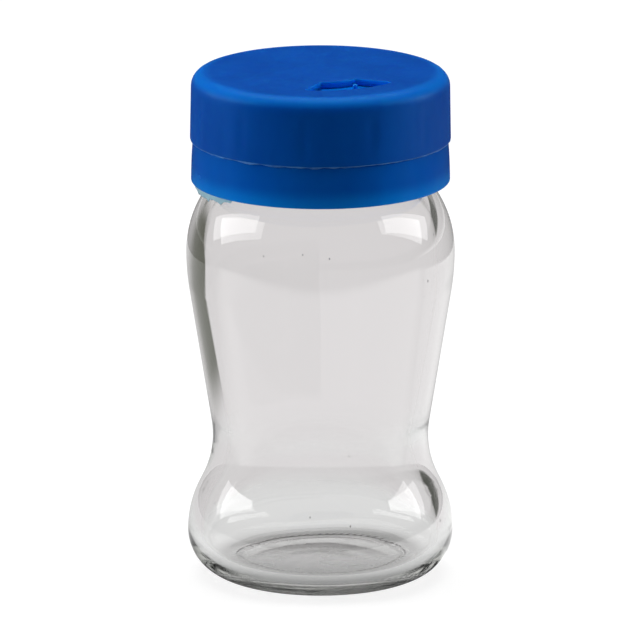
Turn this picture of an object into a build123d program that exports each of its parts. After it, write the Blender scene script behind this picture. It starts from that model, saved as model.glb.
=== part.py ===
from build123d import *
import os
from math import acos, atan2, cos, degrees, hypot, radians, sin, sqrt

# Spice jar: a waisted glass jar, a screwed-on sifter base with its sealing ring, and a cover that turns.
# Millimetres, +Z up, origin in the middle of the jar's footprint, front towards -Y.

# Glass jar, outside
upper_bulge_radius = 26.7
upper_bulge_height = 66.0
lower_bulge_setback = 0.2
heel_radius = 8.9
waist_radius = 21.5
waist_height = 28.4
shoulder_arc = 21.6
neck_fillet = 1.6
rim_outer_round = 1.2

# Arcs of the bulges and the waist, as shares of the largest arcs that leave no straight flank between them
lower_bulge_arc_share = 0.508
waist_arc_share = 0.484
upper_bulge_arc_share = 0.412

# Glass jar, inside and underneath
glass_wall = 3.0
glass_floor = 4.0
bore_radius = 17.4
neck_wall = 3.2
rim_inner_round = 0.8
bearing_ring_width = 1.9
push_up_height = 1.5

# Transfer bead, the collar that the glassmaker holds the neck by
bead_rise = 1.86
bead_width = 3.0
bead_proud = 2.2
bead_clearance = 1.6

# Sealing ring between the glass rim and the sifter deck
gasket_thickness = 0.8
gasket_clearance = 0.3

# Sifter base: deck, thread skirt, ledge and outer band in one moulding
deck_thickness = 1.2
thread_room = 1.7
skirt_wall = 1.4
deck_edge_round = 0.8
band_setback = 0.35
band_flare = 0.2
band_height = 8.3
band_wall = 1.3
band_edge_round = 0.3
ledge_thickness = 1.4
base_bead_proud = 0.5

# Rotating cover
running_gap = 0.15
snap_room = 0.9
cover_wall = 1.3
cover_draft = 0.25
cover_height = 13.55
cover_top_thickness = 1.35
cover_edge_round = 2.9
cover_lip_round = 0.25
cover_azimuth = 23.0
cover_bead_proud = 0.6
cover_bead_lift = 1.0
snap_bead_width = 1.0
snap_gap = 0.3

# Window through the cover's top: a fan whose straight ends point at a spot in front of the middle
window_margin = 0.4
window_length = 7.5
window_apex_share = 0.547
window_spread = 46.5
window_corner_round = 0.7
window_lip_round = 0.35

# Stiffening ribs inside the cover's skirt
rib_count = 12
rib_width = 1.3
rib_depth = 0.4

# Holes in the sifter deck, by their place to the right of the front
sprinkle_hole_radius = 1.0
sprinkle_row_pitch = 2.4
sprinkle_inner_row_azimuths = (-3.0, -15.0)
sprinkle_middle_row_azimuths = (-9.5, -20.0)
sprinkle_outer_row_azimuths = (-6.0, -15.5, -25.0)
pour_hole_azimuth = 75.0
pour_hole_width = 5.6
pour_hole_length = 6.4

# Stop post on the deck, which the ends of the cover's window meet
post_radius = 0.5
post_azimuth = 31.0
post_recess = 0.1
post_tip_round = 0.2

# Angle of the front, counted from +X
front_heading = -90.0

# Radii that follow from the upper bulge, and from the bore outwards
lower_bulge_radius = upper_bulge_radius - lower_bulge_setback
neck_radius = bore_radius + neck_wall
skirt_inner_radius = neck_radius + thread_room
skirt_radius = skirt_inner_radius + skirt_wall
cover_open_radius = skirt_radius + snap_room + cover_wall
cover_top_radius = cover_open_radius - cover_draft
band_top_radius = cover_open_radius - band_setback
band_bottom_radius = band_top_radius + band_flare
window_outer_radius = bore_radius - window_margin
window_inner_radius = window_outer_radius - window_length
window_middle_radius = (window_inner_radius + window_outer_radius) / 2
window_apex_radius = window_apex_share * window_inner_radius


def largest_arcs(bulge_radius, bulge_height):
    """Sum of the radii of a bulge's arc and the waist's arc that meet with no flank between them."""
    inward = bulge_radius - waist_radius
    return (inward**2 + (waist_height - bulge_height) ** 2) / (2 * inward)


# Arcs of the jar's side, each with its centre
lower_bulge_height = heel_radius
lower_arcs = largest_arcs(lower_bulge_radius, lower_bulge_height)
upper_arcs = largest_arcs(upper_bulge_radius, upper_bulge_height)
waist_arc = waist_arc_share * min(lower_arcs, upper_arcs)
lower_bulge_arc = lower_bulge_arc_share * lower_arcs
upper_bulge_arc = upper_bulge_arc_share * (upper_arcs - waist_arc)
lower_centre = (lower_bulge_radius - lower_bulge_arc, lower_bulge_height)
waist_centre = (waist_radius + waist_arc, waist_height)
upper_centre = (upper_bulge_radius - upper_bulge_arc, upper_bulge_height)
shoulder_centre = (upper_bulge_radius - shoulder_arc, upper_bulge_height)


def flank_angle(bulge_centre, bulge_arc, above_waist):
    """Angle at which the straight flank leaves a bulge's arc, to run smoothly into the waist's arc."""
    across = waist_radius + waist_arc - bulge_centre[0]
    up = waist_height - bulge_centre[1]
    lean = acos((bulge_arc + waist_arc) / hypot(across, up))
    return atan2(up, across) + (lean if above_waist else -lean)


def on_circle(centre, radius, angle):
    """Point of a circle at an angle in radians."""
    return (centre[0] + radius * cos(angle), centre[1] + radius * sin(angle))


def round_corner(section, point, radius):
    """Rounds the corner of a sketched section that lies nearest to a point."""
    fillet(section.vertices().sort_by_distance(point)[0], radius)


lower_flank = flank_angle(lower_centre, lower_bulge_arc, above_waist=False)
upper_flank = flank_angle(upper_centre, upper_bulge_arc, above_waist=True)


def shoulder_angle(inset, neck):
    """Angle at which the shoulder's arc, drawn in by an inset, reaches the neck's radius."""
    return acos((neck - shoulder_centre[0]) / (shoulder_arc - inset))


outer_shoulder = on_circle(shoulder_centre, shoulder_arc, shoulder_angle(0, neck_radius))
inner_shoulder_arc = shoulder_arc - glass_wall
inner_shoulder = on_circle(shoulder_centre, inner_shoulder_arc, shoulder_angle(glass_wall, bore_radius))

# Heights that follow from the shoulder upwards
bead_bottom = outer_shoulder[1] + bead_rise
bead_top = bead_bottom + bead_width
ledge_bottom = bead_top + bead_clearance
ledge_top = ledge_bottom + ledge_thickness
band_bottom = ledge_top - band_height
cover_open_edge = ledge_top + running_gap
closure_top = cover_open_edge + cover_height
cover_underside = closure_top - cover_top_thickness
deck_top = cover_underside - running_gap
deck_bottom = deck_top - deck_thickness
rim_height = deck_bottom - gasket_thickness
cover_bead_height = cover_open_edge + cover_bead_lift
base_bead_height = cover_bead_height + snap_bead_width + snap_gap
rib_bottom = base_bead_height + snap_bead_width / 2 + snap_gap


def jar_side(inset, neck):
    """Side of the jar from its lower bulge to its neck, drawn in by an inset: arcs and straight flanks."""
    lower, waist = lower_bulge_arc - inset, waist_arc + inset
    upper, shoulder = upper_bulge_arc - inset, shoulder_arc - inset
    opposite = radians(180)
    CenterArc(lower_centre, lower, 0, degrees(lower_flank))
    Line(on_circle(lower_centre, lower, lower_flank), on_circle(waist_centre, waist, opposite + lower_flank))
    CenterArc(waist_centre, waist, degrees(opposite + lower_flank), degrees(upper_flank - lower_flank))
    Line(on_circle(waist_centre, waist, opposite + upper_flank), on_circle(upper_centre, upper, upper_flank))
    CenterArc(upper_centre, upper, degrees(upper_flank), -degrees(upper_flank))
    CenterArc(shoulder_centre, shoulder, 0, degrees(shoulder_angle(inset, neck)))


with BuildPart() as glass_jar:
    bearing_outer_radius = lower_bulge_radius - heel_radius
    bearing_inner_radius = bearing_outer_radius - bearing_ring_width
    inner_heel_radius = heel_radius - glass_floor
    inner_heel_centre_radius = lower_bulge_radius - glass_wall - inner_heel_radius
    with BuildSketch(Plane.XZ) as jar_section:
        with BuildLine():
            Line((0, glass_floor), (0, push_up_height))
            push_up_slope = 2 * degrees(atan2(push_up_height, bearing_inner_radius))
            push_up_arc = bearing_inner_radius / sin(radians(push_up_slope))
            JernArc((0, push_up_height), (1, 0), push_up_arc, -push_up_slope)
            Line((bearing_inner_radius, 0), (bearing_outer_radius, 0))
            CenterArc((bearing_outer_radius, heel_radius), heel_radius, -90, 90)
            jar_side(0, neck_radius)
            Line(outer_shoulder, (neck_radius, bead_bottom))
            bead_crest = (neck_radius + bead_proud, (bead_bottom + bead_top) / 2)
            ThreePointArc((neck_radius, bead_bottom), bead_crest, (neck_radius, bead_top))
            Line((neck_radius, bead_top), (neck_radius, rim_height))
            Line((neck_radius, rim_height), (bore_radius, rim_height))
            Line((bore_radius, rim_height), inner_shoulder)
            jar_side(glass_wall, bore_radius)
            CenterArc((inner_heel_centre_radius, heel_radius), inner_heel_radius, -90, 90)
            Line((inner_heel_centre_radius, glass_floor), (0, glass_floor))
        make_face()
        round_corner(jar_section, outer_shoulder, neck_fillet)
        round_corner(jar_section, inner_shoulder, neck_fillet + glass_wall)
        round_corner(jar_section, (neck_radius, rim_height), rim_outer_round)
        round_corner(jar_section, (bore_radius, rim_height), rim_inner_round)
    revolve(axis=Axis.Z)

with BuildPart() as rim_gasket:
    with BuildSketch(Plane.XY.offset(rim_height)):
        Circle(skirt_inner_radius - gasket_clearance)
        Circle(bore_radius + gasket_clearance, mode=Mode.SUBTRACT)
    extrude(amount=gasket_thickness)

with BuildPart() as sifter_base:
    with BuildSketch(Plane.XZ) as base_section:
        with BuildLine():
            bead_low = base_bead_height - snap_bead_width / 2
            bead_high = base_bead_height + snap_bead_width / 2
            bead_tip = (skirt_radius + base_bead_proud, base_bead_height)
            Polyline((0, deck_bottom), (0, deck_top), (skirt_radius, deck_top), (skirt_radius, bead_high))
            ThreePointArc((skirt_radius, bead_high), bead_tip, (skirt_radius, bead_low))
            Polyline((skirt_radius, bead_low), (skirt_radius, ledge_top), (band_top_radius, ledge_top),
                     (band_bottom_radius, band_bottom), (band_bottom_radius - band_wall, band_bottom),
                     (band_top_radius - band_wall, ledge_bottom), (skirt_inner_radius, ledge_bottom),
                     (skirt_inner_radius, deck_bottom), (0, deck_bottom))
        make_face()
        round_corner(base_section, (skirt_radius, deck_top), deck_edge_round)
        round_corner(base_section, (band_top_radius, ledge_top), band_edge_round)
        round_corner(base_section, (band_bottom_radius, band_bottom), band_edge_round)
    revolve(axis=Axis.Z)
    with BuildSketch(Plane.XY.offset(deck_top)):
        for row_radius, azimuths in (
            (window_middle_radius - sprinkle_row_pitch, sprinkle_inner_row_azimuths),
            (window_middle_radius, sprinkle_middle_row_azimuths),
            (window_middle_radius + sprinkle_row_pitch, sprinkle_outer_row_azimuths),
        ):
            for azimuth in azimuths:
                with PolarLocations(row_radius, 1, front_heading + azimuth):
                    Circle(sprinkle_hole_radius)
        with PolarLocations(window_middle_radius, 1, front_heading + pour_hole_azimuth):
            SlotOverall(pour_hole_length, pour_hole_width)
    extrude(amount=-deck_thickness, mode=Mode.SUBTRACT)
    with BuildSketch(Plane.XY.offset(deck_top)):
        with PolarLocations(window_middle_radius, 1, front_heading + post_azimuth):
            Circle(post_radius)
    extrude(amount=closure_top - post_recess - deck_top)
    fillet(sifter_base.edges().sort_by(Axis.Z)[-1], post_tip_round)


def window_corner(radius, side):
    """Corner of the window where its straight end, on side -1 or 1, meets an arc of the given radius."""
    spread = radians(window_spread)
    reach = sqrt(radius**2 - (window_apex_radius * sin(spread)) ** 2) - window_apex_radius * cos(spread)
    return (window_apex_radius + reach * cos(spread), side * reach * sin(spread))


with BuildPart() as rotating_cover:
    with BuildSketch(Plane.XZ) as cover_section:
        with BuildLine():
            inner_open_radius = cover_open_radius - cover_wall
            inner_top_radius = cover_top_radius - cover_wall
            bead_low = cover_bead_height - snap_bead_width / 2
            bead_high = cover_bead_height + snap_bead_width / 2
            bead_tip = (inner_open_radius - cover_bead_proud, cover_bead_height)
            Polyline((inner_open_radius, bead_low), (inner_open_radius, cover_open_edge),
                     (cover_open_radius, cover_open_edge), (cover_top_radius, closure_top),
                     (0, closure_top), (0, cover_underside),
                     (inner_top_radius, cover_underside), (inner_open_radius, bead_high))
            ThreePointArc((inner_open_radius, bead_high), bead_tip, (inner_open_radius, bead_low))
        make_face()
        round_corner(cover_section, (cover_top_radius, closure_top), cover_edge_round)
        round_corner(cover_section, (inner_top_radius, cover_underside), cover_edge_round - cover_wall)
        round_corner(cover_section, (cover_open_radius, cover_open_edge), cover_lip_round)
    revolve(axis=Axis.Z)
    with BuildSketch(Plane.XY.offset(rib_bottom)):
        rib_reach = rib_depth + cover_wall / 2
        rib_place_radius = inner_top_radius - rib_depth + rib_reach / 2
        with PolarLocations(rib_place_radius, rib_count, front_heading + cover_azimuth):
            Rectangle(rib_reach, rib_width)
    extrude(amount=cover_underside - rib_bottom)
    with BuildSketch(Plane.XY.offset(closure_top).rotated((0, 0, front_heading + cover_azimuth))) as window:
        with BuildLine():
            inner_ends = [window_corner(window_inner_radius, side) for side in (-1, 1)]
            outer_ends = [window_corner(window_outer_radius, side) for side in (-1, 1)]
            ThreePointArc(inner_ends[0], (window_inner_radius, 0), inner_ends[1])
            Line(inner_ends[1], outer_ends[1])
            ThreePointArc(outer_ends[1], (window_outer_radius, 0), outer_ends[0])
            Line(outer_ends[0], inner_ends[0])
        make_face()
        fillet(window.vertices(), window_corner_round)
    extrude(amount=-cover_top_thickness, mode=Mode.SUBTRACT)
    top_face = rotating_cover.faces().filter_by(Plane.XY).sort_by(Axis.Z)[-1]
    fillet(top_face.inner_wires()[0].edges(), window_lip_round)

glass_jar.part.label = "glass_jar"
rim_gasket.part.label = "rim_gasket"
sifter_base.part.label = "sifter_base"
rotating_cover.part.label = "rotating_cover"

os.makedirs("parts", exist_ok=True)
export_step(glass_jar.part, "parts/glass_jar.step")
export_step(rim_gasket.part, "parts/rim_gasket.step")
export_step(sifter_base.part, "parts/sifter_base.step")
export_step(rotating_cover.part, "parts/rotating_cover.step")
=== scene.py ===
import random
from math import acos, atan2, ceil, cos, hypot, pi, radians, sin, sqrt, tau

import bmesh
import bpy
import numpy as np
from mathutils import Matrix, Quaternion, Vector
from mathutils.geometry import delaunay_2d_cdt


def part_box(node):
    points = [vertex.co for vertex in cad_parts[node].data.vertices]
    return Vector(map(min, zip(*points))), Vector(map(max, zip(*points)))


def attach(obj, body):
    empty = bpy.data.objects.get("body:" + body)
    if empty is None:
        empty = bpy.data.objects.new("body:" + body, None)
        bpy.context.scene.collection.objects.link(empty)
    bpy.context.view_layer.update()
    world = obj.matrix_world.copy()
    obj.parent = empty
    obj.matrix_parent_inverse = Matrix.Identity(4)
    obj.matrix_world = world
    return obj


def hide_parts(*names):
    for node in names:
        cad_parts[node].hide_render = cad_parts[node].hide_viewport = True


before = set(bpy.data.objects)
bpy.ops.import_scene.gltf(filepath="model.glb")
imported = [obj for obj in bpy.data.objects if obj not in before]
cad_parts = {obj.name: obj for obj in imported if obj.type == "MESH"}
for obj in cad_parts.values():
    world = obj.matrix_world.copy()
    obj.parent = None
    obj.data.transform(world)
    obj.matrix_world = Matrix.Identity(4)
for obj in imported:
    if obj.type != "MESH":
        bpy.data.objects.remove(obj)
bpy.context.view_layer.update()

# Shapes are worked out in millimetres and written to the meshes in metres
MM = 0.001
FRONT = radians(-90)

# Glass jar, as in the part's source
upper_bulge_radius = 26.7
upper_bulge_height = 66.0
lower_bulge_setback = 0.2
heel_radius = 8.9
waist_radius = 21.5
waist_height = 28.4
shoulder_arc = 21.6
neck_fillet = 1.6
rim_outer_round = 1.2
lower_bulge_arc_share = 0.508
waist_arc_share = 0.484
upper_bulge_arc_share = 0.412
glass_wall = 3.0
glass_floor = 4.0
bore_radius = 17.4
neck_wall = 3.2
rim_inner_round = 0.8
bearing_ring_width = 1.9
push_up_height = 1.5
bead_rise = 1.86
bead_width = 3.0
bead_proud = 2.2
mouth_depth = 3.0

# Closure, as in the part's source
gasket_clearance = 0.3
gasket_round = 0.25
deck_thickness = 1.2
thread_room = 1.7
skirt_wall = 1.4
deck_edge_round = 0.8
band_setback = 0.35
band_flare = 0.2
band_wall = 1.3
band_edge_round = 0.3
ledge_thickness = 1.4
base_bead_proud = 0.5
running_gap = 0.15
snap_room = 0.9
cover_wall = 1.3
cover_draft = 0.25
cover_top_thickness = 1.35
cover_edge_round = 2.9
cover_lip_round = 0.25
cover_azimuth = 23.0
cover_bead_proud = 0.6
cover_bead_lift = 1.0
snap_bead_width = 1.0
snap_gap = 0.3
window_margin = 0.4
window_length = 7.5
window_apex_share = 0.547
window_spread = 46.5
window_corner_round = 0.7
window_lip_round = 0.35
rib_count = 12
rib_width = 1.3
rib_depth = 0.4
sprinkle_hole_radius = 1.0
sprinkle_row_pitch = 2.4
sprinkle_rows = ((-1, (-3.0, -15.0)), (0, (-9.5, -20.0)), (1, (-6.0, -15.5, -25.0)))
pour_hole_azimuth = 75.0
pour_hole_width = 5.6
pour_hole_length = 6.4
post_radius = 0.5
post_azimuth = 31.0
post_tip_round = 0.2

# Small edges of the closure, and how far its flat plates reach past the window
inner_edge_round = 0.2
ledge_corner_round = 0.15
band_hollow_round = 0.3
deck_hole_round = 0.18
post_flare = 0.12
post_foot_round = 0.1
post_sink = 0.05
deck_plate_margin = 1.6
cover_plate_margin = 2.4

# Screw thread: a helical rib on the glass neck, and one inside the skirt half a pitch above it
thread_pitch = 4.2
thread_turns = 1.65
thread_width = 1.8
thread_proud = 1.3
thread_crest = 0.75
thread_start_height = 89.7
thread_fade = radians(25)
thread_margin = 0.3

# Seams up two sides of the glass, where the halves of the mould met
seam_azimuth = -4.5
seam_proud = 0.05
seam_width = 0.18

# Uneven surfaces: waves have a seed, a count and a greatest length, and rows of marks a seed, a count and a
# least share
inner_wall_waves = (5, 9, 70)
inner_floor_waves = (11, 7, 30)
band_waves = (21, 6, 30)
cover_waves = (31, 8, 40)
wall_unevenness = 0.14
floor_unevenness = 0.05
closure_unevenness = 0.02
most_waves_around = 6
shortest_wave_share = 0.3

# The uneven inner wall sets in above the floor and ends below the neck
floor_reach = 1.0
floor_fade = 6.0
wall_fade_low = 8.0
wall_fade_high = 20.0
even_neck = 8.0

# How much thicker the glass is than its even wall, at heights, and over what height that evens out
wall_extra = ((10.0, 0.0), (18.0, 0.2), (28.0, 0.0), (40.0, -0.7), (52.0, -0.7), (62.0, 0.0), (80.0, 0.0))
wall_evening = 5.0
wall_evening_steps = 17

# Stipple on the ring that the jar stands on, within its edges
knurl_count = 72
knurl_depth = 0.10
knurl_twist = 3
ring_edge = 0.2

# Ragged groove in that ring, where the mould's bottom plate met its side, wider where it is worn
groove_setback = 0.9
groove_width = 0.35
groove_depth = 0.36
groove_marks = (17, 150, 0.15)
groove_worn_azimuths = (-117, 115)
groove_worn_spread = radians(9)
groove_worn_growth = 1.5

# Air bubbles in the glass: azimuth, height, depth below the outer face, and radius
bubbles = (
    (14.0, 15.5, 1.4, 0.16), (68.0, 12.8, 1.2, 0.20), (-5.0, 17.2, 1.6, 0.14), (62.0, 72.0, 1.3, 0.14),
    (55.0, 63.5, 1.7, 0.18), (4.0, 70.4, 1.5, 0.13), (-8.0, 71.2, 1.2, 0.12), (-150.0, 60.0, 1.5, 0.17),
    (165.0, 18.0, 1.3, 0.16), (-112.0, 12.0, 1.6, 0.15), (110.0, 55.0, 1.4, 0.14),
)
bubble_stretch = 1.6

# Shallow sinks in the cover's skirt, over each rib inside it
sink_depth = 0.12
sink_width = 1.0
sink_fade = 3.0
rib_edge = 0.3

# Burr that hangs from the cover's lower lip, in stretches of unlike height
burr_gap = 0.12
burr_thickness = 0.14
burr_drop = 0.42
burr_root = 0.3
burr_marks = (12, 150, 0.25)
burr_sharpness = 1.5
burr_swell_share = 0.38
burr_stretches = 3
burr_phase = 0.8
burr_shoulder_share = 0.7

# The band's upper edge is drawn in a little
band_bow = 0.22
band_bow_power = 3

# Thin tongue of flash that hangs from the band's lower edge, left of the front
flash_from = -88.0
flash_to = -43.0
flash_thickness = 0.16
flash_drop = 2.5
flash_root = 0.25
flash_lean_share = 0.35
flash_marks = (8, 25, 0.55)

# Heights and radii that follow from the frame and the sizes above
neck_radius = bore_radius + neck_wall
skirt_inner_radius = neck_radius + thread_room
skirt_radius = skirt_inner_radius + skirt_wall
cover_open_radius = skirt_radius + snap_room + cover_wall
cover_top_radius = cover_open_radius - cover_draft
band_top_radius = cover_open_radius - band_setback
band_bottom_radius = band_top_radius + band_flare
window_outer_radius = bore_radius - window_margin
window_inner_radius = window_outer_radius - window_length
window_middle_radius = (window_inner_radius + window_outer_radius) / 2
window_apex_radius = window_apex_share * window_inner_radius
lower_bulge_radius = upper_bulge_radius - lower_bulge_setback
bearing_outer = lower_bulge_radius - heel_radius
bearing_inner = bearing_outer - bearing_ring_width
rim_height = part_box("glass_jar")[1].z / MM
gasket_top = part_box("rim_gasket")[1].z / MM
cover_open_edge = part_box("rotating_cover")[0].z / MM
closure_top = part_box("rotating_cover")[1].z / MM
band_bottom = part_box("sifter_base")[0].z / MM
post_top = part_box("sifter_base")[1].z / MM
deck_bottom = gasket_top
deck_top = deck_bottom + deck_thickness
cover_underside = closure_top - cover_top_thickness
ledge_top = cover_open_edge - running_gap
ledge_bottom = ledge_top - ledge_thickness
cover_bead_height = cover_open_edge + cover_bead_lift
base_bead_height = cover_bead_height + snap_bead_width + snap_gap
rib_bottom = base_bead_height + snap_bead_width / 2 + snap_gap

# Fineness of the meshes: steps along a profile or an outline, and counts of points
CURVE_STEP = 0.35
WALL_STEP = 0.6
FLOOR_STEP = 0.5
RING_STEP = 0.19
EDGE_STEP = 0.24
COVER_STEP = 0.4
COVER_INNER_STEP = 0.3
POST_STEP = 0.15
WINDOW_STEP = 0.4
WINDOW_CORNER_STEP = 0.12
ROUND_STEP_SHARE = 0.25
JAR_SEGMENTS = 384
CLOSURE_SEGMENTS = 360
POST_SEGMENTS = 28
SPRINKLE_POINTS = 32
POUR_POINTS = 48
WINDOW_POINTS = (40, 9, 9, 56)
FLASH_COLUMNS = 120
FLASH_ROWS = 9

# Points closer than this are one point, or lie on a level or a wall
SAME_POINT = 1e-4
ON_LEVEL = 0.01
ON_WALL = 0.1


def largest_arcs(bulge_radius, bulge_height):
    """Sum of the radii of a bulge's and the waist's arcs that meet with no flank between them."""
    inward = bulge_radius - waist_radius
    return (inward**2 + (waist_height - bulge_height) ** 2) / (2 * inward)


lower_arcs = largest_arcs(lower_bulge_radius, heel_radius)
upper_arcs = largest_arcs(upper_bulge_radius, upper_bulge_height)
waist_arc = waist_arc_share * min(lower_arcs, upper_arcs)
lower_bulge_arc = lower_bulge_arc_share * lower_arcs
upper_bulge_arc = upper_bulge_arc_share * (upper_arcs - waist_arc)
lower_centre = (lower_bulge_radius - lower_bulge_arc, heel_radius)
waist_centre = (waist_radius + waist_arc, waist_height)
upper_centre = (upper_bulge_radius - upper_bulge_arc, upper_bulge_height)
shoulder_centre = (upper_bulge_radius - shoulder_arc, upper_bulge_height)


def flank_angle(bulge_centre, bulge_arc, above_waist):
    """Angle at which the straight flank leaves a bulge's arc for the waist's."""
    across = waist_radius + waist_arc - bulge_centre[0]
    up = waist_height - bulge_centre[1]
    lean = acos((bulge_arc + waist_arc) / hypot(across, up))
    return atan2(up, across) + (lean if above_waist else -lean)


lower_flank = flank_angle(lower_centre, lower_bulge_arc, above_waist=False)
upper_flank = flank_angle(upper_centre, upper_bulge_arc, above_waist=True)


# Profiles

def arc(centre, radius, start, end, step=CURVE_STEP):
    """Points of an arc from one angle in radians to another."""
    count = max(3, ceil(abs(end - start) * radius / step) + 1)
    angles = np.linspace(start, end, count)
    return np.stack((centre[0] + radius * np.cos(angles), centre[1] + radius * np.sin(angles)), axis=1)


def straight(start, end, step=WALL_STEP):
    """Evenly spaced points of a straight run."""
    count = max(2, ceil(hypot(end[0] - start[0], end[1] - start[1]) / step) + 1)
    shares = np.linspace(0, 1, count)[:, None]
    return np.array(start) * (1 - shares) + np.array(end) * shares


def joined(*pieces):
    """One line of points, with the points that its pieces share once."""
    points = np.concatenate(pieces)
    apart = np.linalg.norm(np.diff(points, axis=0), axis=1) > SAME_POINT
    return points[np.concatenate(([True], apart))]


def rounded(corners, step=WALL_STEP):
    """Line through corners given as (radius, height, rounding)."""
    pieces = [np.array([corners[0][:2]])]
    for before, corner, after in zip(corners, corners[1:], corners[2:]):
        here = np.array(corner[:2])
        if not corner[2]:
            pieces.append(straight(pieces[-1][-1], here, step))
            continue
        back, ahead = np.array(before[:2]) - here, np.array(after[:2]) - here
        back, ahead = back / np.linalg.norm(back), ahead / np.linalg.norm(ahead)
        half = acos(float(back @ ahead)) / 2
        tangent = corner[2] / np.tan(half)
        middle = here + (back + ahead) / np.linalg.norm(back + ahead) * corner[2] / sin(half)
        first, last = here + back * tangent - middle, here + ahead * tangent - middle
        start, end = atan2(first[1], first[0]), atan2(last[1], last[0])
        turn = (end - start + pi) % tau - pi
        pieces.append(straight(pieces[-1][-1], here + back * tangent, step))
        pieces.append(arc(middle, corner[2], start, start + turn, corner[2] * ROUND_STEP_SHARE))
    pieces.append(straight(pieces[-1][-1], corners[-1][:2], step))
    return joined(*pieces)


def bead(radius, proud, bottom, top):
    """Round bead on a wall at a radius: outwards, or inwards if proud is negative."""
    half = (top - bottom) / 2
    bow = (half**2 + proud**2) / (2 * abs(proud))
    side = 1 if proud > 0 else -1
    centre = (radius + proud - side * bow, (bottom + top) / 2)
    reach = atan2(half, radius - centre[0])
    return arc(centre, bow, -reach, reach if side > 0 else reach - tau, CURVE_STEP / 2)


def snap_bead(radius, proud, height):
    """Bead of a snap fit about a height, and the heights of its bottom and top."""
    low, high = height - snap_bead_width / 2, height + snap_bead_width / 2
    return bead(radius, proud, low, high), low, high


def jar_side(inset, neck, neck_top):
    """Side of the jar from its lower bulge to the top of its neck, drawn in by an inset."""
    fillet = neck_fillet + inset
    across = neck + fillet - shoulder_centre[0]
    shoulder_end = acos(across / (shoulder_arc - inset + fillet))
    fillet_height = shoulder_centre[1] + (shoulder_arc - inset + fillet) * sin(shoulder_end)
    lower, waist = lower_bulge_arc - inset, waist_arc + inset
    upper, shoulder = upper_bulge_arc - inset, shoulder_arc - inset
    return joined(
        arc(lower_centre, lower, 0, lower_flank, WALL_STEP),
        arc(waist_centre, waist, pi + lower_flank, pi + upper_flank, WALL_STEP),
        arc(upper_centre, upper, upper_flank, 0, WALL_STEP),
        arc(shoulder_centre, shoulder, 0, shoulder_end, WALL_STEP),
        arc((neck + fillet, fillet_height), fillet, pi + shoulder_end, pi),
        straight((neck, fillet_height), (neck, neck_top), CURVE_STEP),
    )


# Meshes

def piece_from(name, vertices, faces):
    """Piece with smooth shading from vertices in millimetres."""
    mesh = bpy.data.meshes.new(name)
    mesh.from_pydata((np.asarray(vertices) * MM).tolist(), [], faces)
    made = bmesh.new()
    made.from_mesh(mesh)
    bmesh.ops.remove_doubles(made, verts=made.verts, dist=SAME_POINT * MM)
    bmesh.ops.recalc_face_normals(made, faces=made.faces)
    made.to_mesh(mesh)
    made.free()
    mesh.shade_smooth()
    return in_scene(name, mesh)


def in_scene(name, data):
    """New object in the scene."""
    made = bpy.data.objects.new(name, data)
    bpy.context.scene.collection.objects.link(made)
    return made


def full_circle(count):
    """Evenly spaced angles once around."""
    return np.arange(count) * tau / count


def polar(radii, angles, heights):
    """Points at radii, angles and heights, as rows of X, Y and Z."""
    radii, angles, heights = np.broadcast_arrays(radii, angles, heights)
    return np.stack((radii * np.cos(angles), radii * np.sin(angles), heights), axis=-1).reshape(-1, 3)


def grid_faces(rows, columns, closed=False):
    """Faces between rows of points that each close on themselves, and past the last row if closed."""
    row, column = np.meshgrid(np.arange(rows if closed else rows - 1), np.arange(columns), indexing="ij")
    above, beside = (row + 1) % rows, (column + 1) % columns
    corners = (row, column), (row, beside), (above, beside), (above, column)
    return np.stack([r * columns + c for r, c in corners], axis=-1).reshape(-1, 4).tolist()


def turned(profile, segments, shape=None):
    """Vertices and faces of a profile turned about an axis, bent by shape(radii, heights, azimuths)."""
    radii, heights, angles = np.broadcast_arrays(profile[:, :1], profile[:, 1:], full_circle(segments))
    if shape:
        radii, heights = shape(radii, heights, angles)
    return polar(radii, angles, heights), grid_faces(len(profile), segments)


def together(*meshes):
    """Vertices and faces of several meshes as one."""
    vertices, faces, count = [], [], 0
    for points, loops in meshes:
        vertices.append(np.asarray(points, float).reshape(-1, 3))
        faces += [[index + count for index in loop] for loop in loops]
        count += len(points)
    return np.concatenate(vertices), faces


def inside(point, loop):
    """Whether a point lies inside a closed loop of points."""
    x, y = point
    ahead = np.roll(loop, -1, axis=0)
    crosses = (loop[:, 1] > y) != (ahead[:, 1] > y)
    with np.errstate(divide="ignore", invalid="ignore"):
        at = loop[:, 0] + (y - loop[:, 1]) * (ahead[:, 0] - loop[:, 0]) / (ahead[:, 1] - loop[:, 1])
    return bool(np.count_nonzero(crosses & (x < at)) % 2)


def plate(radius, holes, height):
    """Flat round plate less its holes, at a height."""
    loops = [polar(radius, full_circle(CLOSURE_SEGMENTS), height)[:, :2], *holes]
    points, edges, count = [], [], 0
    for loop in loops:
        points += [Vector(p) for p in loop]
        edges += [(count + i, count + (i + 1) % len(loop)) for i in range(len(loop))]
        count += len(loop)
    flat, _, triangles, *_ = delaunay_2d_cdt(points, edges, [], 0, SAME_POINT)
    flat = np.array([tuple(p) for p in flat])
    kept = [t for t in triangles if not any(inside(flat[list(t)].mean(axis=0), hole) for hole in holes)]
    return np.column_stack((flat, np.full(len(flat), height))), kept


def wall(loops):
    """Vertices and faces between closed loops given as (points, height), one above the other."""
    vertices = [np.column_stack((points, np.full(len(points), height))) for points, height in loops]
    return np.concatenate(vertices), grid_faces(len(loops), len(vertices[0]))


def around(azimuth):
    """Angle from +X of an azimuth in degrees to the right of the front."""
    return FRONT + np.radians(azimuth)


def placed(points, radius, azimuth):
    """Points drawn about the origin with +X outwards, moved to a radius and azimuth."""
    angle = around(azimuth)
    x, y = points[:, 0] + radius, points[:, 1]
    return np.stack((x * cos(angle) - y * sin(angle), x * sin(angle) + y * cos(angle)), axis=1)


# Fields over turned surfaces

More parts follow.
